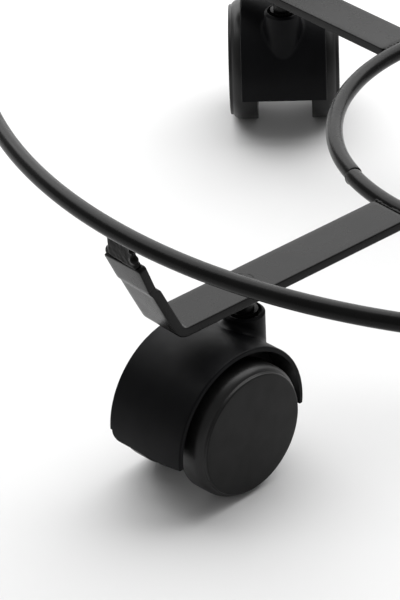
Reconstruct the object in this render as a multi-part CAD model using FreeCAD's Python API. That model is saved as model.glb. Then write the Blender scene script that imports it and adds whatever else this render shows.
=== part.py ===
import FreeCAD, Part
import math
import os

# Plant pot caddy: an outer and an inner wire ring joined by four flat strap arms,
# standing on four swivelling twin-wheel casters. Millimetres, +Z up.
# The origin is on the floor under the axis of the rings; the arms lie on the diagonals.

# Driving dimensions of the rings and arms
OUTER_RING_RADIUS = 175.0      # to the middle of the wire
INNER_RING_RADIUS = 70.0
WIRE_RADIUS = 2.6
OUTER_RING_Z = 91.9            # height of the middle of the wire
INNER_RING_Z = 54.6
OUTER_SEAM_AZIMUTH = 62.0      # where the two ends of each ring's wire meet
INNER_SEAM_AZIMUTH = 205.5
SEAM_LENGTH = 1.0              # gap between the wire ends, filled by the butt weld
SEAM_BEAD_PROUD = 0.3

STRAP_WIDTH = 14.4
STRAP_THICKNESS = 3.0
STRAP_TOP_Z = 56.0
STRAP_EDGE_RADIUS = 0.35
STRAP_INNER_END = 73.1         # the end stands just clear of the inner ring
LIP_BEND_S = 158.6             # where the middle lines of the strap and the lip meet
LIP_LOWER_ANGLE = 63.0         # lean of the lip from the horizontal, below and above its crease
LIP_UPPER_ANGLE = 66.0
LIP_LOWER_LENGTH = 21.0
LIP_UPPER_LENGTH = 8.7
LIP_BEND_RADIUS = 3.8          # to the middle of the strap's thickness
LIP_CREASE_RADIUS = 6.0

RIM_WELD_WIDTH = 9.8
RIM_WELD_INSET = 0.3
INNER_WELD_WIDTH = 13.0
INNER_WELD_INSET = 0.15        # how far the weld stays inside the top and bottom of the strap

# Driving dimensions of a caster
STEM_RADIAL_PLACE = 129.2      # distance of each stem along its arm
STEM_SIDE_PLACE = -1.05        # and how far it stands beside the arm's middle line
TRAIL = 16.1                   # the axle trails the stem by this much
WHEEL_RADIUS = 20.0
AXLE_Z = WHEEL_RADIUS
AXLE_RADIUS = 3.0
AXLE_HALF_LENGTH = 15.3
RUNNING_CLEARANCE = 0.07

HOOD_RADIUS = 24.7
HOOD_WALL = 1.4
HOOD_HALF_WIDTH = 14.0
HOOD_DROP = 3.0                # how far the hood reaches below the axle
SKIRT_HALF_WIDTH = 13.0        # the left rim ends beside the skirt, which has a round corner
SKIRT_SIDE_DROP = 0.0
SKIRT_CORNER_RADIUS = 2.6
SKIRT_SLOPE_START = 6.0        # on the right the skirt rises from here up to the rim
SKIRT_SLOPE_RISE = 1.3
HOOD_EDGE_RADIUS = 0.5
WEB_HALF_WIDTH = 4.4
HUB_RADIUS = 6.5
BOSS_RADIUS = 5.95
BOSS_TOP_Z = 46.1
BOSS_CHAMFER = 0.7
BOSS_BLEND_RADIUS = 1.6
RECESS_RADIUS = 5.0
RECESS_DEPTH = 1.7

RIVET_HEAD_RADIUS = 3.0        # flush with the top of the strap, in a countersink
RIVET_HEAD_DEPTH = 0.6
RIVET_RADIUS = 2.4
NECK_RADIUS = 2.9              # between the strap and the collar
COLLAR_RADIUS = 4.0
COLLAR_TOP_Z = 46.6
COLLAR_HEIGHT = 1.8
SHANK_RADIUS = 3.2
SHANK_LENGTH = 10.6
BORE_RADIUS = 3.25
BORE_BELOW_SHANK = 0.5
CLIP_GROOVE_RADIUS = 2.7
CLIP_OUTER_RADIUS = 3.9
CLIP_THICKNESS = 1.0
CLIP_BELOW_COLLAR = 2.3
CLIP_GAP_ANGLE = 40.0
CLIP_CLEARANCE = 0.3

WHEEL_HUB_FACE = 4.9           # offsets along the axle from the middle of the caster
WHEEL_INNER_FACE = 9.0
TREAD_OUTER_EDGE = 15.2
WHEEL_SHOULDER = 18.1
WHEEL_OUTER_FACE = 18.6
FACE_DISC_RADIUS = 17.5
FACE_GROOVE_DEPTH = 0.35
FACE_GROOVE_WIDTH = 0.35
WHEEL_RIM_THICKNESS = 2.4
WHEEL_DISC_INNER = 16.5
WHEEL_HUB_RADIUS = 5.2
RIB_COUNT = 6
RIB_THICKNESS = 1.2
RIB_INNER_FACE = 9.6
SNAP_OFFSET = 13.4
SNAP_GROOVE_HALF_WIDTH = 0.7
SNAP_GROOVE_RADIUS = 2.5
SNAP_RIDGE_HALF_WIDTH = 0.35
SNAP_RIDGE_RADIUS = 2.85

# Corner of the caddy: azimuth of its arm, and how far its caster is swivelled at rest
CORNERS = {
    "front_left": (225.0, 4.0),
    "front_right": (315.0, 28.0),
    "rear_right": (45.0, -16.0),
    "rear_left": (135.0, -42.0),
}

# Sizes that follow from the driving dimensions
STRAP_BOTTOM_Z = STRAP_TOP_Z - STRAP_THICKNESS
STRAP_MIDDLE_Z = STRAP_TOP_Z - STRAP_THICKNESS / 2
COLLAR_BOTTOM_Z = COLLAR_TOP_Z - COLLAR_HEIGHT
SHANK_END_Z = COLLAR_BOTTOM_Z - SHANK_LENGTH
CLIP_TOP_Z = COLLAR_BOTTOM_Z - CLIP_BELOW_COLLAR
CLIP_BOTTOM_Z = CLIP_TOP_Z - CLIP_THICKNESS
POCKET_RADIUS = HOOD_RADIUS - HOOD_WALL
WHEEL_BORE_RADIUS = AXLE_RADIUS + RUNNING_CLEARANCE
MARGIN = 1.0                   # how far a cutting solid runs past what it cuts

X_AXIS = FreeCAD.Vector(1, 0, 0)
Y_AXIS = FreeCAD.Vector(0, 1, 0)
Z_AXIS = FreeCAD.Vector(0, 0, 1)
ORIGIN = FreeCAD.Vector(0, 0, 0)
STEM_PLACE = FreeCAD.Vector(STEM_RADIAL_PLACE, STEM_SIDE_PLACE, 0)


def point(s, z):
    """A point in the arm's own upright plane: s outward from the ring axis, z up."""
    return FreeCAD.Vector(s, 0, z)


def upright_cylinder(radius, bottom, top):
    return Part.makeCylinder(radius, top - bottom, FreeCAD.Vector(0, 0, bottom))


def cross_cylinder(radius, start, end, x=TRAIL):
    """A cylinder along Y about the axle, between two offsets."""
    return Part.makeCylinder(radius, end - start, FreeCAD.Vector(x, start, AXLE_Z), Y_AXIS)


def prism(points, half_width):
    """The polygon of (s, z) points, extruded across the arm."""
    wire = Part.makePolygon([point(*p) for p in points + points[:1]])
    face = Part.Face(wire)
    face.translate(Y_AXIS * -half_width)
    return face.extrude(Y_AXIS * (2 * half_width))


# ---- rings ---------------------------------------------------------------------------

def ring_segment(ring_radius, wire_radius, height, start, sweep):
    """A stretch of round wire bent to a ring, from azimuth start through sweep degrees."""
    section = Part.Wire(Part.makeCircle(wire_radius, point(ring_radius, height), Y_AXIS))
    solid = Part.Face(section).revolve(ORIGIN, Z_AXIS, sweep)
    solid.rotate(ORIGIN, Z_AXIS, start)
    return solid


def ring_and_seam(ring_radius, height, seam_azimuth):
    """The ring's wire, open by the seam, and the butt weld that closes it."""
    gap = math.degrees(SEAM_LENGTH / ring_radius)
    wire = ring_segment(ring_radius, WIRE_RADIUS, height, seam_azimuth + gap / 2, 360 - gap)
    bead_radius = WIRE_RADIUS + SEAM_BEAD_PROUD
    bead = ring_segment(ring_radius, bead_radius, height, seam_azimuth - gap / 2, gap)
    return wire, bead


def whole_ring(ring_radius, height):
    return Part.makeTorus(ring_radius, WIRE_RADIUS, FreeCAD.Vector(0, 0, height))


# ---- arms ----------------------------------------------------------------------------

def lip_points():
    """Bend, crease and end of the middle line of the lip."""
    lower = math.radians(LIP_LOWER_ANGLE)
    upper = math.radians(LIP_UPPER_ANGLE)
    bend = point(LIP_BEND_S, STRAP_MIDDLE_Z)
    crease = bend + point(math.cos(lower), math.sin(lower)) * LIP_LOWER_LENGTH
    end = crease + point(math.cos(upper), math.sin(upper)) * LIP_UPPER_LENGTH
    return bend, crease, end


def left_normal(start, end):
    """Unit vector to the left of the way from start to end, in the arm's plane."""
    way = (end - start).normalize()
    return FreeCAD.Vector(-way.z, 0, way.x)


def offset_line(points, distance):
    """A polyline moved to its left by a distance, with mitred corners."""
    moved = [points[0] + left_normal(points[0], points[1]) * distance]
    for before, here, after in zip(points, points[1:], points[2:]):
        first = left_normal(before, here)
        second = left_normal(here, after)
        moved.append(here + (first + second) * (distance / (1 + first.dot(second))))
    moved.append(points[-1] + left_normal(points[-2], points[-1]) * distance)
    return moved


def rounded_edges(points, radii):
    """Lines and tangent arcs along a polyline, one radius for each inner point."""
    edges = []
    start = points[0]
    for before, here, after, radius in zip(points, points[1:], points[2:], radii):
        back = (before - here).normalize()
        ahead = (after - here).normalize()
        half_angle = back.getAngle(ahead) / 2
        reach = radius / math.tan(half_angle)
        middle = (back + ahead).normalize() * (radius / math.sin(half_angle) - radius)
        edges.append(Part.LineSegment(start, here + back * reach).toShape())
        edges.append(Part.Arc(here + back * reach, here + middle, here + ahead * reach).toShape())
        start = here + ahead * reach
    edges.append(Part.LineSegment(start, points[-1]).toShape())
    return edges


def arm():
    """A flat strap, bent up at its outer end into a creased lip."""
    middle = [point(STRAP_INNER_END, STRAP_MIDDLE_Z), *lip_points()]
    half = STRAP_THICKNESS / 2
    top = offset_line(middle, half)
    bottom = offset_line(middle, -half)
    top_edges = rounded_edges(top, [LIP_BEND_RADIUS - half, LIP_CREASE_RADIUS - half])
    bottom_edges = rounded_edges(bottom, [LIP_BEND_RADIUS + half, LIP_CREASE_RADIUS + half])
    ends = [Part.LineSegment(top[i], bottom[i]).toShape() for i in (0, -1)]
    outline = Part.Wire(Part.__sortEdges__(top_edges + bottom_edges + ends))
    face = Part.Face(outline)
    face.translate(Y_AXIS * (-STRAP_WIDTH / 2))
    strap = face.extrude(Y_AXIS * STRAP_WIDTH)
    strap = strap.makeFillet(STRAP_EDGE_RADIUS, side_outline_edges(strap))
    return strap.cut(place(rivet(), 0, STEM_PLACE))


def side_outline_edges(strap):
    """The edges round the two flat sides of the strap, apart from its inner end."""
    tolerance = 0.01
    chosen = []
    for edge in strap.Edges:
        box = edge.BoundBox
        on_side = box.YLength < tolerance and abs(abs(box.YMin) - STRAP_WIDTH / 2) < tolerance
        at_inner_end = box.XMax < STRAP_INNER_END + tolerance
        if on_side and not at_inner_end:
            chosen.append(edge)
    return chosen


def rim_weld():
    """The weld that fills the space between the end of the lip and the outer ring."""
    bend, crease, end = lip_points()
    inward = left_normal(crease, end)
    half = STRAP_THICKNESS / 2 - RIM_WELD_INSET
    inner_foot = end + inward * half
    outer_foot = end - inward * half
    ring = point(OUTER_RING_RADIUS, OUTER_RING_Z)
    inner_top = ring - X_AXIS * (WIRE_RADIUS * 0.85)
    outer_top = ring + X_AXIS * (WIRE_RADIUS * 0.45) - Z_AXIS * (WIRE_RADIUS * 0.5)
    corners = [inner_foot, outer_foot, outer_top, inner_top]
    block = prism([(c.x, c.z) for c in corners], RIM_WELD_WIDTH / 2)
    return block.cut(whole_ring(OUTER_RING_RADIUS, OUTER_RING_Z))


def inner_weld():
    """The weld that fills the space between the strap's inner end and the inner ring."""
    top = STRAP_TOP_Z - INNER_WELD_INSET
    bottom = STRAP_BOTTOM_Z + INNER_WELD_INSET
    corners = [
        (INNER_RING_RADIUS, bottom),
        (STRAP_INNER_END, bottom),
        (STRAP_INNER_END, top),
        (INNER_RING_RADIUS, top),
    ]
    block = prism(corners, INNER_WELD_WIDTH / 2)
    return block.cut(whole_ring(INNER_RING_RADIUS, INNER_RING_Z))


# ---- caster, with its stem on the Z axis and its axle trailing towards +X ------------

def rivet():
    """The upper end of the stem, set over into a countersunk hole in the strap."""
    plain = upright_cylinder(RIVET_RADIUS, STRAP_BOTTOM_Z, STRAP_TOP_Z)
    head = Part.makeCone(RIVET_RADIUS, RIVET_HEAD_RADIUS, RIVET_HEAD_DEPTH,
                         FreeCAD.Vector(0, 0, STRAP_TOP_Z - RIVET_HEAD_DEPTH))
    return plain.fuse(head)


def stem():
    """Riveted end, neck, collar, and a smooth shank with a groove for the retaining ring."""
    neck = upright_cylinder(NECK_RADIUS, COLLAR_TOP_Z, STRAP_BOTTOM_Z)
    collar = upright_cylinder(COLLAR_RADIUS, COLLAR_BOTTOM_Z, COLLAR_TOP_Z)
    shank = upright_cylinder(SHANK_RADIUS, SHANK_END_Z, COLLAR_BOTTOM_Z)
    groove = upright_cylinder(SHANK_RADIUS + MARGIN, CLIP_BOTTOM_Z, CLIP_TOP_Z)
    groove = groove.cut(upright_cylinder(CLIP_GROOVE_RADIUS, CLIP_BOTTOM_Z, CLIP_TOP_Z))
    return rivet().fuse([neck, collar, shank]).cut(groove).removeSplitter()


def retaining_ring():
    """A split ring in the stem's groove, which holds the hood on the stem."""
    outer = upright_cylinder(CLIP_OUTER_RADIUS, CLIP_BOTTOM_Z, CLIP_TOP_Z)
    inner = upright_cylinder(CLIP_GROOVE_RADIUS, CLIP_BOTTOM_Z - MARGIN, CLIP_TOP_Z + MARGIN)
    gap = Part.makeCylinder(CLIP_OUTER_RADIUS + MARGIN, CLIP_THICKNESS,
                            FreeCAD.Vector(0, 0, CLIP_BOTTOM_Z), Z_AXIS, CLIP_GAP_ANGLE)
    return outer.cut(inner).cut(gap)


def hood_outside():
    """The drum over the wheels with the stem boss blended into its top."""
    drum = cross_cylinder(HOOD_RADIUS, -HOOD_HALF_WIDTH, HOOD_HALF_WIDTH)
    drum = drum.makeFillet(HOOD_EDGE_RADIUS, [e for e in drum.Edges if e.BoundBox.YLength < MARGIN])
    boss = upright_cylinder(BOSS_RADIUS, AXLE_Z, BOSS_TOP_Z)
    top_edge = [e for e in boss.Edges if e.BoundBox.ZMin > BOSS_TOP_Z - MARGIN]
    boss = boss.makeChamfer(BOSS_CHAMFER, top_edge)
    body = drum.fuse(boss).removeSplitter()
    return body.makeFillet(BOSS_BLEND_RADIUS, boss_foot_edges(body))


def boss_foot_edges(body):
    """The curve where the boss leaves the top of the drum."""
    chosen = []
    for edge in body.Edges:
        box = edge.BoundBox
        round_boss = box.XMin > -BOSS_RADIUS - MARGIN and box.XMax < BOSS_RADIUS + MARGIN
        below_chamfer = box.ZMax < BOSS_TOP_Z - BOSS_CHAMFER - MARGIN
        above_axle = box.ZMin > AXLE_Z + BOSS_RADIUS
        not_straight = box.XLength > MARGIN
        if round_boss and below_chamfer and above_axle and not_straight:
            chosen.append(edge)
    return chosen


def left_skirt_cut():
    """What is taken off the left of the hood's rear edge, leaving a skirt with a round corner."""
    bottom = AXLE_Z - HOOD_DROP
    flat = SKIRT_HALF_WIDTH - SKIRT_CORNER_RADIUS
    bulge = SKIRT_CORNER_RADIUS * math.sin(math.radians(45))
    outline = [
        (SKIRT_HALF_WIDTH, AXLE_Z - SKIRT_SIDE_DROP),
        (SKIRT_HALF_WIDTH, bottom + SKIRT_CORNER_RADIUS),
        (flat + bulge, bottom + SKIRT_CORNER_RADIUS - bulge),
        (flat, bottom),
        (flat, bottom - MARGIN),
        (HOOD_HALF_WIDTH + MARGIN, bottom - MARGIN),
        (HOOD_HALF_WIDTH + MARGIN, AXLE_Z - SKIRT_SIDE_DROP),
    ]
    corners = [FreeCAD.Vector(TRAIL, -y, z) for y, z in outline]
    edges = [Part.makeLine(corners[0], corners[1]), Part.Arc(*corners[1:4]).toShape()]
    edges += Part.makePolygon(corners[3:] + corners[:1]).Edges
    return Part.Face(Part.Wire(edges)).extrude(X_AXIS * 2 * HOOD_RADIUS)


def right_skirt_cut():
    """The wedge taken off the right of the rear edge, where the skirt rises to the rim."""
    bottom = AXLE_Z - HOOD_DROP
    side = HOOD_HALF_WIDTH + MARGIN
    outline = [
        (SKIRT_SLOPE_START, bottom),
        (HOOD_HALF_WIDTH, bottom + SKIRT_SLOPE_RISE),
        (side, bottom + SKIRT_SLOPE_RISE),
        (side, bottom - MARGIN),
        (SKIRT_SLOPE_START, bottom - MARGIN),
    ]
    corners = [FreeCAD.Vector(TRAIL, y, z) for y, z in outline]
    wedge = Part.Face(Part.makePolygon(corners + corners[:1]))
    return wedge.extrude(X_AXIS * 2 * HOOD_RADIUS)


def hood():
    """One moulding: wheel covers, the web between the wheels, axle hub and stem boss."""
    body = hood_outside()
    reach = 2 * HOOD_RADIUS
    below = Part.makeBox(2 * reach, 2 * reach, reach,
                         FreeCAD.Vector(-reach, -reach, AXLE_Z - HOOD_DROP - reach))
    body = body.cut(below)
    for start, end in ((WEB_HALF_WIDTH, HOOD_HALF_WIDTH + MARGIN),
                       (-HOOD_HALF_WIDTH - MARGIN, -WEB_HALF_WIDTH)):
        body = body.cut(cross_cylinder(POCKET_RADIUS, start, end))
    body = body.cut([left_skirt_cut(), right_skirt_cut()])
    body = body.fuse(cross_cylinder(HUB_RADIUS, -WEB_HALF_WIDTH, WEB_HALF_WIDTH))
    body = body.cut(cross_cylinder(AXLE_RADIUS, -reach, reach))
    body = body.cut(upright_cylinder(RECESS_RADIUS, BOSS_TOP_Z - RECESS_DEPTH, BOSS_TOP_Z + MARGIN))
    body = body.cut(upright_cylinder(BORE_RADIUS, SHANK_END_Z - BORE_BELOW_SHANK, BOSS_TOP_Z))
    groove = upright_cylinder(CLIP_OUTER_RADIUS + CLIP_CLEARANCE, CLIP_BOTTOM_Z - CLIP_CLEARANCE,
                              CLIP_TOP_Z + CLIP_CLEARANCE)
    return body.cut(groove).removeSplitter()


def axle():
    """A pin pressed through the hood's hub, with a snap groove near each end."""
    pin = cross_cylinder(AXLE_RADIUS, -AXLE_HALF_LENGTH, AXLE_HALF_LENGTH)
    for side in (-1, 1):
        start = side * SNAP_OFFSET - SNAP_GROOVE_HALF_WIDTH
        end = side * SNAP_OFFSET + SNAP_GROOVE_HALF_WIDTH
        ring = cross_cylinder(AXLE_RADIUS + MARGIN, start, end)
        pin = pin.cut(ring.cut(cross_cylinder(SNAP_GROOVE_RADIUS, start, end)))
    return pin


def wheel_outline():
    """Half section of a wheel: radius from the axle, and offset along it."""
    rim_inside = WHEEL_RADIUS - WHEEL_RIM_THICKNESS
    groove_outer = FACE_DISC_RADIUS + FACE_GROOVE_WIDTH
    groove_floor = WHEEL_SHOULDER - FACE_GROOVE_DEPTH
    bore_end = AXLE_HALF_LENGTH + WHEEL_OUTER_FACE - WHEEL_SHOULDER
    ridge = (SNAP_OFFSET - SNAP_RIDGE_HALF_WIDTH, SNAP_OFFSET + SNAP_RIDGE_HALF_WIDTH)
    rounded = [
        (WHEEL_RADIUS, TREAD_OUTER_EDGE),
        (WHEEL_RADIUS - 0.6, TREAD_OUTER_EDGE + 1.9),
        (groove_outer, WHEEL_SHOULDER),
    ]
    straight = [
        rounded[-1],
        (FACE_DISC_RADIUS + FACE_GROOVE_WIDTH / 2, groove_floor),
        (FACE_DISC_RADIUS, WHEEL_SHOULDER),
        (FACE_DISC_RADIUS - FACE_GROOVE_WIDTH, WHEEL_OUTER_FACE),
        (0, WHEEL_OUTER_FACE),
        (0, bore_end),
        (WHEEL_BORE_RADIUS, bore_end),
        (WHEEL_BORE_RADIUS, ridge[1]),
        (SNAP_RIDGE_RADIUS, ridge[1]),
        (SNAP_RIDGE_RADIUS, ridge[0]),
        (WHEEL_BORE_RADIUS, ridge[0]),
        (WHEEL_BORE_RADIUS, WHEEL_HUB_FACE),
        (WHEEL_HUB_RADIUS, WHEEL_HUB_FACE),
        (WHEEL_HUB_RADIUS, WHEEL_DISC_INNER),
        (rim_inside, WHEEL_DISC_INNER),
        (rim_inside, WHEEL_INNER_FACE),
        (WHEEL_RADIUS, WHEEL_INNER_FACE),
        rounded[0],
    ]
    return rounded, straight


def wheel_at_origin():
    """A moulded wheel about the Y axis: tread, face disc, hub with a snap ridge, and ribs."""
    rounded, straight = wheel_outline()
    arc = Part.Arc(*[FreeCAD.Vector(r, y, 0) for r, y in rounded]).toShape()
    lines = Part.makePolygon([FreeCAD.Vector(r, y, 0) for r, y in straight]).Edges
    section = Part.Face(Part.Wire([arc, *lines]))
    wheel = section.revolve(ORIGIN, Y_AXIS, 360)
    overlap = 0.2
    rib_length = WHEEL_RADIUS - WHEEL_RIM_THICKNESS - WHEEL_HUB_RADIUS + 2 * overlap
    for k in range(RIB_COUNT):
        rib = Part.makeBox(rib_length, WHEEL_DISC_INNER - RIB_INNER_FACE + overlap, RIB_THICKNESS,
                           FreeCAD.Vector(WHEEL_HUB_RADIUS - overlap, RIB_INNER_FACE,
                                          -RIB_THICKNESS / 2))
        rib.rotate(ORIGIN, Y_AXIS, k * 360 / RIB_COUNT)
        wheel = wheel.fuse(rib)
    return wheel.removeSplitter()


def wheel(side):
    """The wheel on one side of the hood: +1 is the right wheel, -1 the left one."""
    shape = wheel_at_origin()
    if side < 0:
        shape.rotate(ORIGIN, Z_AXIS, 180)
    shape.translate(FreeCAD.Vector(TRAIL, 0, AXLE_Z))
    return shape


# ---- assembly ------------------------------------------------------------------------

def place(shape, azimuth, stem_place=ORIGIN, swivel=0.0):
    """Turn a caster part about its stem, move it out along the arm, and turn it with the arm."""
    placed = shape.copy()
    placed.rotate(ORIGIN, Z_AXIS, swivel)
    placed.translate(stem_place)
    placed.rotate(ORIGIN, Z_AXIS, azimuth)
    return placed


def ring_parts():
    outer, outer_seam = ring_and_seam(OUTER_RING_RADIUS, OUTER_RING_Z, OUTER_SEAM_AZIMUTH)
    inner, inner_seam = ring_and_seam(INNER_RING_RADIUS, INNER_RING_Z, INNER_SEAM_AZIMUTH)
    return {
        "outer_ring": outer,
        "outer_ring_butt_weld": outer_seam,
        "inner_ring": inner,
        "inner_ring_butt_weld": inner_seam,
    }


def corner_parts():
    """The arm, welds and caster of every corner, each placed where it belongs."""
    fixed_to_arm = {"arm": arm(), "rim_weld": rim_weld(), "inner_weld": inner_weld()}
    fixed_at_stem = {"stem": stem(), "retaining_ring": retaining_ring()}
    swivelling = {"hood": hood(), "axle": axle(), "left_wheel": wheel(-1), "right_wheel": wheel(1)}
    parts = {}
    for corner, (azimuth, swivel) in CORNERS.items():
        for name, shape in fixed_to_arm.items():
            parts[f"{corner}_{name}"] = place(shape, azimuth)
        for name, shape in fixed_at_stem.items():
            parts[f"{corner}_{name}"] = place(shape, azimuth, STEM_PLACE)
        for name, shape in swivelling.items():
            parts[f"{corner}_{name}"] = place(shape, azimuth, STEM_PLACE, swivel)
    return parts


def main():
    os.makedirs("parts", exist_ok=True)
    for name, shape in {**ring_parts(), **corner_parts()}.items():
        shape.exportStep(f"parts/{name}.step")
        print(f"{name}: {len(shape.Solids)} solid(s), {shape.Volume:.1f} mm3, valid {shape.isValid()}")


main()
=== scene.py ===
import math
import random

import bmesh
import bpy
from mathutils import Matrix, Vector, noise


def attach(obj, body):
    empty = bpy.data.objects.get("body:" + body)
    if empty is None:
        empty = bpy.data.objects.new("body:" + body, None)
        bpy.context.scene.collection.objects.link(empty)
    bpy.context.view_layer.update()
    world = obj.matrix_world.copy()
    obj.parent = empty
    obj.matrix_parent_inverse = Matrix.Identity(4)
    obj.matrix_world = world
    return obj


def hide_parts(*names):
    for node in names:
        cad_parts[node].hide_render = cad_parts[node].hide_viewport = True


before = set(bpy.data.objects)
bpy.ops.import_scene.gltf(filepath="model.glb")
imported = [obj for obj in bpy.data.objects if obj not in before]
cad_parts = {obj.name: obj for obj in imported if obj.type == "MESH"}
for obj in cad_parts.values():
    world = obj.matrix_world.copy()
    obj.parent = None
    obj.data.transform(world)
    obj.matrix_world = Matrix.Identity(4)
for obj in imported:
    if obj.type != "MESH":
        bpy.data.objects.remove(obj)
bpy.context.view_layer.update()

# The looks of a plant pot caddy: powder-coated wire rings and strap arms on four
# swivelling twin-wheel casters. Everything is in metres, in the frame of the CAD model.

MM = 0.001

# Azimuth of each corner's arm, and how far its caster is swivelled at rest
CORNERS = {
    "front_left": (math.radians(225.0), math.radians(4.0)),
    "front_right": (math.radians(315.0), math.radians(28.0)),
    "rear_right": (math.radians(45.0), math.radians(-16.0)),
    "rear_left": (math.radians(135.0), math.radians(-42.0)),
}

# Sizes of the wire, the strap and the caster, as in the CAD model
WIRE_RADIUS = 2.6 * MM
OUTER_RING = {"radius": 175.0 * MM, "height": 91.9 * MM, "seam": math.radians(62.0)}
INNER_RING = {"radius": 70.0 * MM, "height": 54.6 * MM, "seam": math.radians(205.5)}
STRAP_HALF_WIDTH = 7.2 * MM
STRAP_HALF_THICKNESS = 1.5 * MM
STRAP_EDGE = 0.42 * MM
STRAP_TOP_Z = 56.0 * MM
STRAP_MIDDLE_Z = STRAP_TOP_Z - STRAP_HALF_THICKNESS
STRAP_INNER_END = 73.1 * MM
LIP_BEND_S = 158.6 * MM
LIP_LOWER = (math.radians(63.0), 21.0 * MM)
LIP_UPPER = (math.radians(66.0), 8.7 * MM)
LIP_BEND_RADIUS = 3.8 * MM
LIP_CREASE_RADIUS = 6.0 * MM
STEM_PLACE = Vector((129.2 * MM, -1.05 * MM, 0.0))
RIVET_HEAD_RADIUS = 3.0 * MM
TRAIL = 16.1 * MM
AXLE_Z = 20.0 * MM


# ---- materials -----------------------------------------------------------------------

class Shader:
    """A small helper that adds nodes to a material and wires them up."""

    def __init__(self, name):
        self.material = bpy.data.materials.new(name)
        self.material.use_nodes = True
        self.nodes = self.material.node_tree.nodes
        self.links = self.material.node_tree.links
        self.principled = self.nodes["Principled BSDF"]
        self.coordinates = self.nodes.new("ShaderNodeTexCoord").outputs["Object"]

    def set(self, **values):
        for name, value in values.items():
            self.principled.inputs[name.replace("_", " ")].default_value = value

    def link(self, output, socket):
        self.links.new(output, socket)

    def scaled(self, factors):
        """Object coordinates stretched by a factor along each axis."""
        mapping = self.nodes.new("ShaderNodeMapping")
        mapping.inputs["Scale"].default_value = factors
        self.link(self.coordinates, mapping.inputs["Vector"])
        return mapping.outputs["Vector"]

    def noise(self, size, detail=3.0, roughness=0.5, vector=None):
        """Noise whose features are about size across."""
        texture = self.nodes.new("ShaderNodeTexNoise")
        texture.inputs["Scale"].default_value = 1.0 / size
        texture.inputs["Detail"].default_value = detail
        texture.inputs["Roughness"].default_value = roughness
        self.link(vector or self.coordinates, texture.inputs["Vector"])
        return texture.outputs["Fac"]

    def range(self, value, source, target):
        """value moved from the source range to the target range, clamped."""
        node = self.nodes.new("ShaderNodeMapRange")
        node.inputs["From Min"].default_value = source[0]
        node.inputs["From Max"].default_value = source[1]
        node.inputs["To Min"].default_value = target[0]
        node.inputs["To Max"].default_value = target[1]
        self.link(value, node.inputs["Value"])
        return node.outputs["Result"]

    def mix(self, factor, first, second):
        """A colour between first and second, each a colour or another node's output."""
        node = self.nodes.new("ShaderNodeMix")
        node.data_type = "RGBA"
        self.link(factor, node.inputs["Factor"])
        colour_inputs = [socket for socket in node.inputs if socket.type == "RGBA"]
        for socket, colour in zip(colour_inputs, (first, second)):
            if isinstance(colour, tuple):
                socket.default_value = (*colour, 1.0)
            else:
                self.link(colour, socket)
        return [socket for socket in node.outputs if socket.type == "RGBA"][0]

    def bump(self, height, depth, normal=None):
        node = self.nodes.new("ShaderNodeBump")
        node.inputs["Distance"].default_value = depth
        self.link(height, node.inputs["Height"])
        if normal is not None:
            self.link(normal, node.inputs["Normal"])
        return node.outputs["Normal"]

    def tone(self, value, source, dark, light):
        """Base colour that runs from dark to light as value crosses the source range."""
        share = self.range(value, source, (0.0, 1.0))
        self.link(self.mix(share, dark, light), self.principled.inputs["Base Color"])

    def gloss(self, value, low, high):
        """Roughness that runs from low to high with the middle of a noise."""
        self.link(self.range(value, (0.3, 0.7), (low, high)), self.principled.inputs["Roughness"])


def scaled_tone(tone, factor):
    return tuple(part * factor for part in tone)


def powder_coat(name, tone, roughness, specular, peel_depth):
    """Satin black powder coat: orange peel, fine grain, and slightly uneven gloss."""
    shader = Shader(name)
    shader.tone(shader.noise(16 * MM, detail=5.0), (0.35, 0.65),
                scaled_tone(tone, 0.8), scaled_tone(tone, 1.3))
    shader.gloss(shader.noise(7 * MM, detail=6.0), roughness - 0.03, roughness + 0.04)
    peel = shader.bump(shader.noise(1.3 * MM, detail=2.0), peel_depth)
    grain = shader.bump(shader.noise(0.3 * MM, detail=2.0), peel_depth * 0.15, normal=peel)
    shader.link(grain, shader.principled.inputs["Normal"])
    shader.set(Specular_IOR_Level=specular)
    return shader.material


def moulded_plastic(name, tone, roughness, specular, scuff):
    """Satin moulded nylon: spark texture, faint flow marks, uneven gloss and pale scuffs."""
    shader = Shader(name)
    flow = shader.noise(12 * MM, detail=3.0, roughness=0.6, vector=shader.scaled((1, 1, 0.35)))
    body = shader.mix(shader.range(flow, (0.3, 0.7), (0.0, 1.0)),
                      scaled_tone(tone, 0.8), scaled_tone(tone, 1.25))
    rubs = shader.noise(2.2 * MM, detail=8.0, roughness=0.75, vector=shader.scaled((1, 1, 2.5)))
    worn = shader.range(rubs, (0.6, 0.78), (0.0, 1.0))
    shader.link(shader.mix(worn, body, scaled_tone(tone, scuff)),
                shader.principled.inputs["Base Color"])
    shader.gloss(shader.noise(5 * MM, detail=6.0), roughness - 0.05, roughness + 0.07)
    texture = shader.bump(shader.noise(0.35 * MM, detail=2.0), 0.012 * MM)
    swell = shader.bump(shader.noise(8 * MM, detail=1.0), 0.08 * MM, normal=texture)
    shader.link(swell, shader.principled.inputs["Normal"])
    shader.set(Specular_IOR_Level=specular)
    return shader.material


def bare_steel(name, tone, roughness):
    """Plated steel, a little uneven."""
    shader = Shader(name)
    shader.tone(shader.noise(1.5 * MM, detail=4.0), (0.35, 0.65), scaled_tone(tone, 0.8), tone)
    shader.gloss(shader.noise(0.8 * MM), roughness - 0.06, roughness + 0.08)
    shader.link(shader.bump(shader.noise(0.2 * MM), 0.004 * MM), shader.principled.inputs["Normal"])
    shader.set(Metallic=1.0)
    return shader.material


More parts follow.
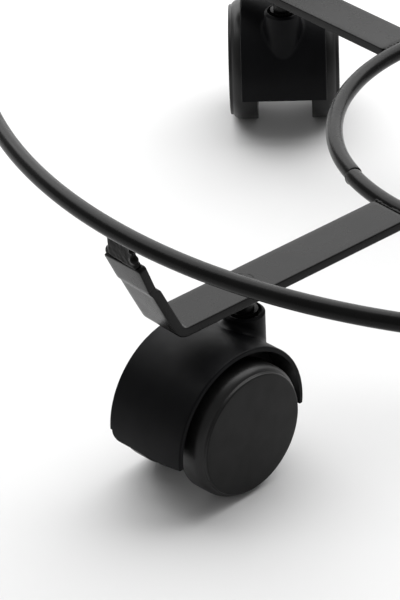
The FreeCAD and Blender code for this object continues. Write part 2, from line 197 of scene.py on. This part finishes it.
FRAME_PAINT = powder_coat("frame_powder_coat", (0.0042, 0.0041, 0.0040),
                          roughness=0.26, specular=0.13, peel_depth=0.012 * MM)
WELD_PAINT = powder_coat("weld_powder_coat", (0.0034, 0.0033, 0.0031),
                         roughness=0.16, specular=0.07, peel_depth=0.02 * MM)
HOOD_PLASTIC = moulded_plastic("hood_nylon", (0.0036, 0.0037, 0.0042),
                               roughness=0.42, specular=0.07, scuff=1.6)
WHEEL_PLASTIC = moulded_plastic("wheel_plastic", (0.0072, 0.0071, 0.0071),
                                roughness=0.39, specular=0.30, scuff=1.5)
DISC_PLASTIC = moulded_plastic("wheel_disc_plastic", (0.0068, 0.0067, 0.0067),
                               roughness=0.42, specular=0.145, scuff=1.5)
ZINC_STEEL = bare_steel("zinc_steel", (0.30, 0.30, 0.31), roughness=0.34)
DARK_STEEL = bare_steel("dark_steel", (0.10, 0.10, 0.105), roughness=0.4)

NODE_MATERIALS = {
    "outer_ring": FRAME_PAINT,
    "inner_ring": FRAME_PAINT,
    "arm": FRAME_PAINT,
    "weld": WELD_PAINT,
    "stem": FRAME_PAINT,
    "axle": ZINC_STEEL,
    "retaining_ring": DARK_STEEL,
    "hood": HOOD_PLASTIC,
    "wheel": WHEEL_PLASTIC,
}


def paint_cad_nodes():
    """Gives every node of the CAD model the material that goes with its name."""
    for name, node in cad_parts.items():
        ending = next(end for end in NODE_MATERIALS if name.endswith(end))
        for place in node.material_slots:
            place.material = NODE_MATERIALS[ending]


# ---- mesh helpers --------------------------------------------------------------------

def mesh_object(name, mesh, material, sharp_angle=35.0):
    """A shown object made from a bmesh, smooth except across sharp edges."""
    bmesh.ops.recalc_face_normals(mesh, faces=mesh.faces)
    data = bpy.data.meshes.new(name)
    mesh.to_mesh(data)
    mesh.free()
    data.polygons.foreach_set("use_smooth", [True] * len(data.polygons))
    data.set_sharp_from_angle(angle=math.radians(sharp_angle))
    data.materials.append(material)
    made = bpy.data.objects.new(name, data)
    bpy.context.scene.collection.objects.link(made)
    return made


def apply_modifiers(piece):
    """Gives the piece the mesh that its modifiers make, and removes them."""
    bpy.context.view_layer.update()
    graph = bpy.context.evaluated_depsgraph_get()
    final = bpy.data.meshes.new_from_object(piece.evaluated_get(graph))
    piece.modifiers.clear()
    piece.data = final


def boolean(piece, tool, operation):
    """Adds the tool to the piece, or cuts it away, and removes the tool."""
    step = piece.modifiers.new("boolean", "BOOLEAN")
    step.operation = operation
    step.solver = "EXACT"
    step.object = tool
    apply_modifiers(piece)
    bpy.data.objects.remove(tool)


def fit_in_frame(piece, body, replaced):
    """The piece rides on a body and stands in for the CAD node, which is hidden."""
    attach(piece, body)
    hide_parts(replaced)


def loft(loops):
    """A closed bmesh skin through loops of points, each loop with the same number of points."""
    mesh = bmesh.new()
    rows = [[mesh.verts.new(place) for place in loop] for loop in loops]
    for first, second in zip(rows, rows[1:]):
        for k in range(len(first)):
            after = (k + 1) % len(first)
            mesh.faces.new((first[k], first[after], second[after], second[k]))
    mesh.faces.new(rows[0])
    mesh.faces.new(rows[-1])
    return mesh


def lathe(profile, segments):
    """A bmesh turned about the Y axis from a closed outline of (radius, offset) points."""
    mesh = bmesh.new()
    rings = []
    for radius, offset in profile:
        count = segments if radius > 0 else 1
        turns = [2 * math.pi * k / segments for k in range(count)]
        rings.append([mesh.verts.new((radius * math.cos(t), offset, radius * math.sin(t)))
                      for t in turns])
    for first, second in zip(rings, rings[1:] + rings[:1]):
        if len(first) == len(second) == 1:
            continue
        for k in range(segments):
            after = (k + 1) % segments
            corners = [first[k % len(first)], first[after % len(first)],
                       second[after % len(second)], second[k % len(second)]]
            mesh.faces.new(list(dict.fromkeys(corners)))
    return mesh


def swing(first, last, share):
    """The spoke that lies a share of the way round from first to last."""
    return first.slerp(last, share).normalized() * first.length


def arc_points(centre, start, end, steps):
    """Points from start to end on the arc about centre, both ends included."""
    first, last = Vector(start) - Vector(centre), Vector(end) - Vector(centre)
    return [tuple(Vector(centre) + swing(first, last, k / steps)) for k in range(steps + 1)]


def rounded(points, steps=5):
    """An outline of (x, y, radius) points with each corner turned into an arc."""
    outline = []
    count = len(points)
    for k, (x, y, radius) in enumerate(points):
        here = Vector((x, y))
        if radius <= 0:
            outline.append((x, y))
            continue
        back = (Vector(points[k - 1][:2]) - here).normalized()
        ahead = (Vector(points[(k + 1) % count][:2]) - here).normalized()
        half = back.angle(ahead) / 2
        centre = here + (back + ahead).normalized() * (radius / math.sin(half))
        reach = radius / math.tan(half)
        outline += arc_points(centre, here + back * reach, here + ahead * reach, steps)
    return outline


# ---- wire rings ----------------------------------------------------------------------

SEAM_GAP = 0.5 * MM            # between the two ends of a ring's wire
END_ROUNDING = 0.35 * MM
SEAM_STEP = 0.22 * MM          # how far each wire end misses the other
SEAM_STEP_LENGTH = 9 * MM
WAVINESS = 0.07 * MM
WIRE_SIDES = 32
OUTER_RING_STATIONS = 560
INNER_RING_STATIONS = 300


def end_rounding():
    """Places from a wire end and how far the surface is drawn in there."""
    turns = [math.radians(90 * k / 4) for k in range(5)]
    return [(END_ROUNDING * (1 - math.cos(t)), END_ROUNDING * (1 - math.sin(t))) for t in turns]


def wire_ring(name, ring, stations):
    """Round wire rolled to a ring: faintly wavy, with two ends that miss each other a little."""
    radius = ring["radius"]
    half_gap = SEAM_GAP / 2 / radius
    length = (2 * math.pi - 2 * half_gap) * radius
    plain = length - 2 * END_ROUNDING
    middle_part = [(END_ROUNDING + plain * k / stations, 0.0) for k in range(1, stations)]
    far_end = [(length - place, inset) for place, inset in reversed(end_rounding())]
    loops = []
    for place, inset in end_rounding() + middle_part + far_end:
        angle = ring["seam"] + half_gap + place / radius
        out = Vector((math.cos(angle), math.sin(angle), 0))
        sample = out * 3 + Vector((radius * 40, ring["height"] * 40, 0))
        sideways = noise.noise(sample) * WAVINESS
        upward = noise.noise(sample + Vector((9, 3, 1))) * WAVINESS
        step = SEAM_STEP * (math.exp(-(place / SEAM_STEP_LENGTH) ** 2)
                            - math.exp(-((length - place) / SEAM_STEP_LENGTH) ** 2))
        middle = out * (radius + sideways + step) + Vector((0, 0, ring["height"] + upward))
        loop = []
        for k in range(WIRE_SIDES):
            turn = 2 * math.pi * k / WIRE_SIDES
            section = out * math.cos(turn) + Vector((0, 0, math.sin(turn)))
            loop.append(middle + section * (WIRE_RADIUS - inset))
        loops.append(loop)
    piece = mesh_object(name + "_wire", loft(loops), FRAME_PAINT, sharp_angle=50.0)
    fit_in_frame(piece, "frame", name)


BEAD_HALF_LENGTH = 1.1 * MM
BEAD_ROOT = WIRE_RADIUS - 0.55 * MM
BEAD_STEPS = 12
BEAD_SIDES = 36
BEAD_LEAN = math.radians(50)   # how far below level the bead stands out most


def butt_weld(name, ring):
    """The small weld that joins the wire ends: proud below and outside, sunk on top."""
    loops = []
    for step in range(BEAD_STEPS + 1):
        place = BEAD_HALF_LENGTH * (2 * step / BEAD_STEPS - 1)
        angle = ring["seam"] + place / ring["radius"]
        out = Vector((math.cos(angle), math.sin(angle), 0))
        middle = out * ring["radius"] + Vector((0, 0, ring["height"]))
        swell = max(math.cos(place / BEAD_HALF_LENGTH * math.pi / 2), 0.0) ** 0.6
        loop = []
        for k in range(BEAD_SIDES):
            turn = 2 * math.pi * k / BEAD_SIDES
            facing = 0.5 + 0.5 * math.cos(turn + BEAD_LEAN)
            lump = noise.noise(Vector((math.cos(turn) * 1.6, math.sin(turn) * 1.6, place * 900)))
            proud = (0.13 + 0.85 * facing ** 1.5 + 0.12 * lump) * MM
            section = out * math.cos(turn) + Vector((0, 0, math.sin(turn)))
            loop.append(middle + section * (BEAD_ROOT + proud * swell))
        loops.append(loop)
    piece = mesh_object(name + "_butt_weld_bead", loft(loops), WELD_PAINT, sharp_angle=60.0)
    fit_in_frame(piece, "frame", name + "_butt_weld")


# ---- arms ----------------------------------------------------------------------------

STRAP_RIPPLE = 0.03 * MM
BEND_SPREAD = 0.016            # how much the inside of a bend swells sideways
LIP_TWIST = 0.35 * MM          # how far the upper corners of the lip stand out and in
LIP_CORNER = 1.0 * MM
JOGGLE = 0.34 * MM             # the press mark across the lip: a small step outward
JOGGLE_SHARPNESS = 0.7 * MM
JOGGLE_FADE = 9.0 * MM
JOGGLE_BELOW_CREASE = 1.9 * MM
LIP_THINNING = 0.22 * MM       # how much of each side the press took off above it


def along(angle, distance=1.0):
    """The way an angle points in the arm's upright plane, as far as distance."""
    return Vector((math.cos(angle), math.sin(angle))) * distance


def straight(start, end, count):
    """Stations (point, direction, amount of bend) along a straight run, its end left out."""
    way = (end - start).normalized()
    return [(start.lerp(end, k / count), way, 0.0) for k in range(count)]


def bend(before, here, after, radius, count):
    """Stations round a bend, its end left out, and the points where it starts and ends."""
    back = (before - here).normalized()
    ahead = (after - here).normalized()
    half = back.angle(ahead) / 2
    reach = radius / math.tan(half)
    centre = here + (back + ahead).normalized() * (radius / math.sin(half))
    first = here + back * reach - centre
    last = here + ahead * reach - centre
    stations = []
    for k in range(count):
        spoke = swing(first, last, k / count)
        way = Vector((-spoke.y, spoke.x)).normalized()
        stations.append((centre + spoke, way, math.sin(math.pi * k / count)))
    return stations, here + back * reach, here + ahead * reach


def arm_stations():
    """Stations along the strap's middle line, in the arm's upright plane."""
    start = Vector((STRAP_INNER_END, STRAP_MIDDLE_Z))
    corner = Vector((LIP_BEND_S, STRAP_MIDDLE_Z))
    crease = corner + along(*LIP_LOWER)
    end = crease + along(*LIP_UPPER)
    lower, lower_start, lower_end = bend(start, corner, crease, LIP_BEND_RADIUS, count=14)
    upper, upper_start, upper_end = bend(corner, crease, end, LIP_CREASE_RADIUS, count=5)
    stations = straight(start, lower_start, count=60) + lower
    stations += straight(lower_end, upper_start, count=40) + upper
    stations += straight(upper_end, end - along(LIP_UPPER[0], LIP_CORNER), count=14)
    return stations, crease, end


def strap_section():
    """The strap's rounded rectangle, as offsets across and through it."""
    w, t = STRAP_HALF_WIDTH, STRAP_HALF_THICKNESS
    corners = rounded([(-w, -t, STRAP_EDGE), (w, -t, STRAP_EDGE),
                       (w, t, STRAP_EDGE), (-w, t, STRAP_EDGE)], 4)
    section = []
    for (x0, y0), (x1, y1) in zip(corners, corners[1:] + corners[:1]):
        parts = 8 if abs(x1 - x0) > w else 1
        section += [(x0 + (x1 - x0) * k / parts, y0 + (y1 - y0) * k / parts) for k in range(parts)]
    return section


def arm_mesh(seed):
    """A flat strap with rolled edges, bent up and creased in a press, with rounded lip corners."""
    stations, crease, end = arm_stations()
    section = strap_section()
    upper_length = (end - crease).length
    loops = []

    def add_loop(middle, way, amount, narrower=0.0, thinner=0.0):
        normal = Vector((-way.y, way.x))
        above = (middle - crease).dot(along(LIP_UPPER[0])) if middle.x > LIP_BEND_S else -1.0
        share_up = max(above / upper_length, 0.0)
        above_mark = above + JOGGLE_BELOW_CREASE if above > -1.0 else -1.0
        step = math.tanh(above_mark / JOGGLE_SHARPNESS)
        middle = middle - normal * (JOGGLE * step * math.exp(-abs(above_mark) / JOGGLE_FADE))
        thinner = thinner + LIP_THINNING * (0.5 + 0.5 * step)
        loop = []
        for across, through in section:
            side = across / STRAP_HALF_WIDTH
            share = through / STRAP_HALF_THICKNESS
            sample = Vector((middle.x * 60, across * 120, share + seed * 7 + middle.y * 60))
            ripple = noise.noise(sample) * STRAP_RIPPLE * share
            spot = middle + normal * (through * (1 - thinner / STRAP_HALF_THICKNESS) + ripple)
            wide = across * (1 + BEND_SPREAD * amount * share) - side * narrower
            loop.append(Vector((spot.x - LIP_TWIST * side * share_up, wide, spot.y)))
        loops.append(loop)

    first, way, _ = stations[0]
    for place, inset in ((0.0, 0.35), (0.1, 0.12), (0.35, 0.0)):
        add_loop(first + way * place * MM, way, 0.0, inset * MM, inset * MM)
    for middle, way, amount in stations[1:]:
        add_loop(middle, way, amount)
    for turn in (0, 20, 40, 60, 75, 86):
        turn = math.radians(turn)
        middle = end + along(LIP_UPPER[0], LIP_CORNER * (math.sin(turn) - 1))
        dome = max(math.sin(turn) - 0.8, 0.0) * 1.2 * MM
        add_loop(middle, way, 0.0, LIP_CORNER * (1 - math.cos(turn)), dome)
    return loft(loops)


def arm(corner, azimuth, seed):
    """The strap arm of one corner, with a straight hole of the rivet head's size for its stem."""
    piece = mesh_object(corner + "_strap_arm", arm_mesh(seed), FRAME_PAINT)
    reach = 2 * STRAP_HALF_THICKNESS
    outline = [(0, -reach), (RIVET_HEAD_RADIUS, -reach), (RIVET_HEAD_RADIUS, reach), (0, reach)]
    drill = mesh_object("drill", lathe(outline, segments=64), FRAME_PAINT)
    drill.matrix_world = (Matrix.Translation(STEM_PLACE + Vector((0, 0, STRAP_TOP_Z)))
                          @ Matrix.Rotation(math.pi / 2, 4, "X"))
    boolean(piece, drill, "DIFFERENCE")
    piece.data.transform(Matrix.Rotation(azimuth, 4, "Z"))
    fit_in_frame(piece, "frame", corner + "_arm")


# ---- welds ---------------------------------------------------------------------------

RIM_WELD_FOOT_HALF = 5.0 * MM
RIM_WELD_TOP_HALF = 5.9 * MM
# Lumps at the sides of the rim weld in mm: out along the arm, across it, height, size
RIM_WELD_LUMPS = (
    (171.9, -4.9, 83.1, 1.3),
    (172.3, 4.9, 83.4, 1.3),
    (173.2, 5.2, 86.6, 0.95),
    (173.6, -5.4, 88.9, 1.2),
    (174.0, 5.6, 89.0, 1.2),
)


def add_blob(mesh, centre, radii):
    """A ball stretched to three radii."""
    made = bmesh.ops.create_icosphere(mesh, subdivisions=3, radius=1.0)
    for vert in made["verts"]:
        vert.co = Vector([centre[i] + vert.co[i] * radii[i] for i in range(3)])


def add_block(mesh, corners):
    """A block from eight corners: four below, in order, and the four above them."""
    verts = [mesh.verts.new(place) for place in corners]
    for quad in ((3, 2, 1, 0), (4, 5, 6, 7), (0, 1, 5, 4), (1, 2, 6, 5), (2, 3, 7, 6), (3, 0, 4, 7)):
        mesh.faces.new([verts[k] for k in quad])


def weld_metal(name, mesh, voxel, softening, roughness, seed):
    """Overlapping blobs and blocks fused to one lumpy, painted piece of weld metal."""
    piece = mesh_object(name, mesh, WELD_PAINT, sharp_angle=180.0)
    fuse = piece.modifiers.new("fuse", "REMESH")
    fuse.mode = "VOXEL"
    fuse.voxel_size = voxel
    soften = piece.modifiers.new("soften", "SMOOTH")
    soften.iterations = softening
    apply_modifiers(piece)
    normals = [vert.normal.copy() for vert in piece.data.vertices]
    for vert, normal in zip(piece.data.vertices, normals):
        sample = vert.co * 700 + Vector((seed * 5.3, seed * 2.1, 0))
        rise = noise.noise(sample) + 0.4 * noise.noise(sample * 2.7)
        vert.co += normal * rise * roughness
    piece.data.polygons.foreach_set("use_smooth", [True] * len(piece.data.polygons))
    return piece


def rim_weld(corner, azimuth, seed):
    """A bead along the end of the lip that necks up to the underside of the outer ring."""
    rng = random.Random(seed)
    mesh = bmesh.new()
    foot = [(171.1 * MM, 81.3 * MM), (172.9 * MM, 80.9 * MM)]
    top = [(172.6 * MM, 91.0 * MM), (173.5 * MM, 90.2 * MM)]
    add_block(mesh, [(out, across, height)
                     for (inner, outer), half in ((foot, RIM_WELD_FOOT_HALF), (top, RIM_WELD_TOP_HALF))
                     for (out, height), across in ((inner, -half), (outer, -half),
                                                   (outer, half), (inner, half))])
    add_blob(mesh, (171.9 * MM, -6.1 * MM, 82.0 * MM), (1.15 * MM, 1.0 * MM, 1.5 * MM))
    place = -6.2
    while place < 5.4:
        size = rng.uniform(1.05, 1.25)
        add_blob(mesh, (171.75 * MM, place * MM, 81.55 * MM),
                 (size * MM, 1.0 * MM, size * 1.15 * MM))
        place += rng.uniform(0.8, 1.2)
    for out, across, height, size in RIM_WELD_LUMPS:
        spread = [size * MM * rng.uniform(0.9, 1.1) for _ in range(3)]
        add_blob(mesh, (out * MM, across * MM, height * MM), spread)
    piece = weld_metal(corner + "_rim_weld_metal", mesh, voxel=0.24 * MM, softening=14,
                       roughness=0.07 * MM, seed=seed)
    piece.data.transform(Matrix.Rotation(azimuth, 4, "Z"))
    fit_in_frame(piece, "frame", corner + "_rim_weld")


def inner_weld(corner, azimuth, seed):
    """Thin ragged beads above and below the gap between the strap's end and the inner ring."""
    rng = random.Random(seed)
    mesh = bmesh.new()
    half = 6.3 * MM
    near, far, low, high = 71.2 * MM, 73.3 * MM, 53.4 * MM, 55.7 * MM
    add_block(mesh, [(near, -half, low), (far, -half, low), (far, half, low), (near, half, low),
                     (near, -half, high), (far, -half, high), (far, half, high), (near, half, high)])
    place = -6.5 * MM
    while place < 6.5 * MM:
        for z in (55.85 * MM, 53.1 * MM):
            size = rng.uniform(0.42, 0.72) * MM
            s = math.sqrt((72.5 * MM) ** 2 - place ** 2) + rng.uniform(0.0, 0.35) * MM
            add_blob(mesh, (s, place, z), (size, size * 1.2, size * 0.7))
        place += rng.uniform(0.5, 0.9) * MM
    piece = weld_metal(corner + "_inner_weld_metal", mesh, voxel=0.2 * MM, softening=3,
                       roughness=0.09 * MM, seed=seed)
    piece.data.transform(Matrix.Rotation(azimuth, 4, "Z"))
    fit_in_frame(piece, "frame", corner + "_inner_weld")


# ---- wheels --------------------------------------------------------------------------

WHEEL_SEGMENTS = 120
WHEEL_SHARP_ANGLE = 35.0
DISC_FROM = 18.02 * MM         # the face disc is what lies further out than this
RIB_COUNT = 6
RIB_REACH = (5.0 * MM, 17.8 * MM)       # from the hub to the rim
RIB_DEPTH = (9.6 * MM, 16.7 * MM)       # from its free edge to the disc
RIB_HALF_ROOT = 0.75 * MM
RIB_HALF_TIP = 0.5 * MM


def wheel_profile():
    """Half section of a wheel in mm: radius from the axle, and offset along it."""
    outline = [(19.7, 9.0), (19.88, 9.07), (20.0, 9.3), (20.0, 14.3)]
    outline += [(19.97, 14.8), (19.88, 15.3), (19.73, 15.76), (19.52, 16.18), (19.27, 16.54),
                (19.0, 16.82), (18.75, 17.0), (18.6, 17.08), (18.5, 17.16), (18.44, 17.3)]
    outline += arc_points((17.84, 17.6), (18.44, 17.6), (17.84, 18.2), 8)
    outline += [(16.4, 18.25), (12.0, 18.35), (6.0, 18.42), (0.0, 18.45)]
    outline += [(0.0, 15.8), (3.07, 15.8), (3.07, 13.75), (2.85, 13.75), (2.85, 13.05),
                (3.07, 13.05)]
    outline += [(3.07, 5.1), (3.25, 4.9), (5.0, 4.9), (5.2, 5.1), (5.2, 16.2), (5.5, 16.5)]
    outline += [(17.3, 16.5), (17.6, 16.2), (17.6, 9.2), (17.8, 9.0)]
    return [(radius * MM, offset * MM) for radius, offset in outline]


def rib(turn):
    """One tapered rib of a wheel, turned about the axle."""
    (inner, outer), (front, back) = RIB_REACH, RIB_DEPTH
    mesh = bmesh.new()
    add_block(mesh, [(radius, offset, across)
                     for offset, half in ((back, RIB_HALF_ROOT), (front, RIB_HALF_TIP))
                     for radius, across in ((inner, -half), (outer, -half),
                                            (outer, half), (inner, half))])
    bmesh.ops.rotate(mesh, verts=mesh.verts, cent=(0, 0, 0), matrix=Matrix.Rotation(turn, 3, "Y"))
    return mesh_object("rib", mesh, WHEEL_PLASTIC)


def wheel_mesh():
    """A moulded wheel about the Y axis, with ribs between its hub and rim and a matt face disc."""
    piece = mesh_object("wheel_master", lathe(wheel_profile(), WHEEL_SEGMENTS), WHEEL_PLASTIC)
    for k in range(RIB_COUNT):
        boolean(piece, rib(k * 2 * math.pi / RIB_COUNT), "UNION")
    data = piece.data
    data.polygons.foreach_set("use_smooth", [True] * len(data.polygons))
    data.set_sharp_from_angle(angle=math.radians(WHEEL_SHARP_ANGLE))
    data.materials.append(DISC_PLASTIC)
    for face in data.polygons:
        face.material_index = int(face.center.y > DISC_FROM)
    bpy.data.objects.remove(piece)
    return data


def wheel(corner, side, master, azimuth, swivel, turn):
    """One wheel of a caster; turn is how far it has rolled from where it was moulded."""
    data = master.copy()
    facing = 0.0 if side == "right" else math.pi
    data.transform(
        Matrix.Rotation(azimuth, 4, "Z") @ Matrix.Translation(STEM_PLACE)
        @ Matrix.Rotation(swivel, 4, "Z") @ Matrix.Translation((TRAIL, 0, AXLE_Z))
        @ Matrix.Rotation(facing, 4, "Z") @ Matrix.Rotation(turn, 4, "Y"))
    name = f"{corner}_{side}_wheel"
    piece = bpy.data.objects.new(name + "_moulding", data)
    bpy.context.scene.collection.objects.link(piece)
    fit_in_frame(piece, name, name)


# ---- floor, light and camera ---------------------------------------------------------

FLOOR_TONE = (0.68, 0.68, 0.68)
FLOOR_HALF_SIZE = 6.0
FLOOR_HEIGHT = -0.02 * MM
WORLD_TONE = (0.34, 0.34, 0.34)


def make_floor():
    """A pale floor 12 m square, a hair under the wheels."""
    mesh = bmesh.new()
    signs = ((-1, -1), (1, -1), (1, 1), (-1, 1))
    mesh.faces.new([mesh.verts.new((x * FLOOR_HALF_SIZE, y * FLOOR_HALF_SIZE, FLOOR_HEIGHT))
                    for x, y in signs])
    shader = Shader("pale_floor")
    shader.set(Base_Color=(*FLOOR_TONE, 1.0), Roughness=0.9, Specular_IOR_Level=0.1)
    mesh_object("floor", mesh, shader.material)


def area_light(name, place, target, size, watts):
    """A soft panel that faces its target."""
    light = bpy.data.lights.new(name, "AREA")
    light.shape = "RECTANGLE"
    light.size, light.size_y = size
    light.energy = watts
    lamp = bpy.data.objects.new(name, light)
    lamp.location = place
    lamp.rotation_euler = (Vector(target) - Vector(place)).to_track_quat("-Z", "Y").to_euler()
    bpy.context.scene.collection.objects.link(lamp)


def make_lights():
    """A wide panel overhead and behind, a bright wall behind it, and an even grey studio."""
    area_light("overhead_panel", place=(0.0, 0.72, 1.3), target=(0.0, 0.72, 0.0),
               size=(3.0, 1.5), watts=50)
    area_light("rear_panel", place=(0.0, 1.5, 0.75), target=(0.0, 0.0, 0.1),
               size=(3.0, 1.2), watts=25)
    world = bpy.data.worlds.new("studio")
    world.use_nodes = True
    world.node_tree.nodes["Background"].inputs["Color"].default_value = (*WORLD_TONE, 1.0)
    bpy.context.scene.world = world
    bpy.context.scene.view_settings.view_transform = "Standard"


# Where the camera stands: distance from the ring axis, height over the floor, azimuth
# measured from the -Y side, the way it points, and its roll.
CAMERA_REACH = 0.9013
CAMERA_HEIGHT = 0.5581
CAMERA_AZIMUTH = math.radians(-1.77)
CAMERA_YAW = math.radians(-7.17)
CAMERA_PITCH = math.radians(32.02)
CAMERA_ROLL = math.radians(-2.52)
CAMERA_LENS = 205.1
SENSOR_SIZE = 36.0


def make_camera():
    """The camera, turned about its own axes and then set round the ring."""
    data = bpy.data.cameras.new("camera")
    data.sensor_width = SENSOR_SIZE
    data.lens = CAMERA_LENS
    camera = bpy.data.objects.new("camera", data)
    bpy.context.scene.collection.objects.link(camera)
    forward = Vector((
        math.sin(CAMERA_YAW) * math.cos(CAMERA_PITCH),
        math.cos(CAMERA_YAW) * math.cos(CAMERA_PITCH),
        -math.sin(CAMERA_PITCH),
    ))
    level_right = Vector((math.cos(CAMERA_YAW), -math.sin(CAMERA_YAW), 0))
    level_up = level_right.cross(forward)
    right = level_right * math.cos(CAMERA_ROLL) + level_up * math.sin(CAMERA_ROLL)
    up = level_up * math.cos(CAMERA_ROLL) - level_right * math.sin(CAMERA_ROLL)
    turn = Matrix((right, up, -forward)).transposed().to_4x4()
    place = Matrix.Translation((0, -CAMERA_REACH, CAMERA_HEIGHT))
    camera.matrix_world = Matrix.Rotation(CAMERA_AZIMUTH, 4, "Z") @ place @ turn
    bpy.context.scene.camera = camera


# ---- the whole scene -----------------------------------------------------------------

paint_cad_nodes()
wire_ring("outer_ring", OUTER_RING, OUTER_RING_STATIONS)
wire_ring("inner_ring", INNER_RING, INNER_RING_STATIONS)
butt_weld("outer_ring", OUTER_RING)
butt_weld("inner_ring", INNER_RING)

moulding = wheel_mesh()
for seed, (corner, (azimuth, swivel)) in enumerate(CORNERS.items()):
    arm(corner, azimuth, seed)
    rim_weld(corner, azimuth, seed)
    inner_weld(corner, azimuth, seed)
    for side in ("left", "right"):
        roll = random.Random(f"{corner} {side}").uniform(0, 2 * math.pi)
        wheel(corner, side, moulding, azimuth, swivel, roll)

make_floor()
make_lights()
make_camera()
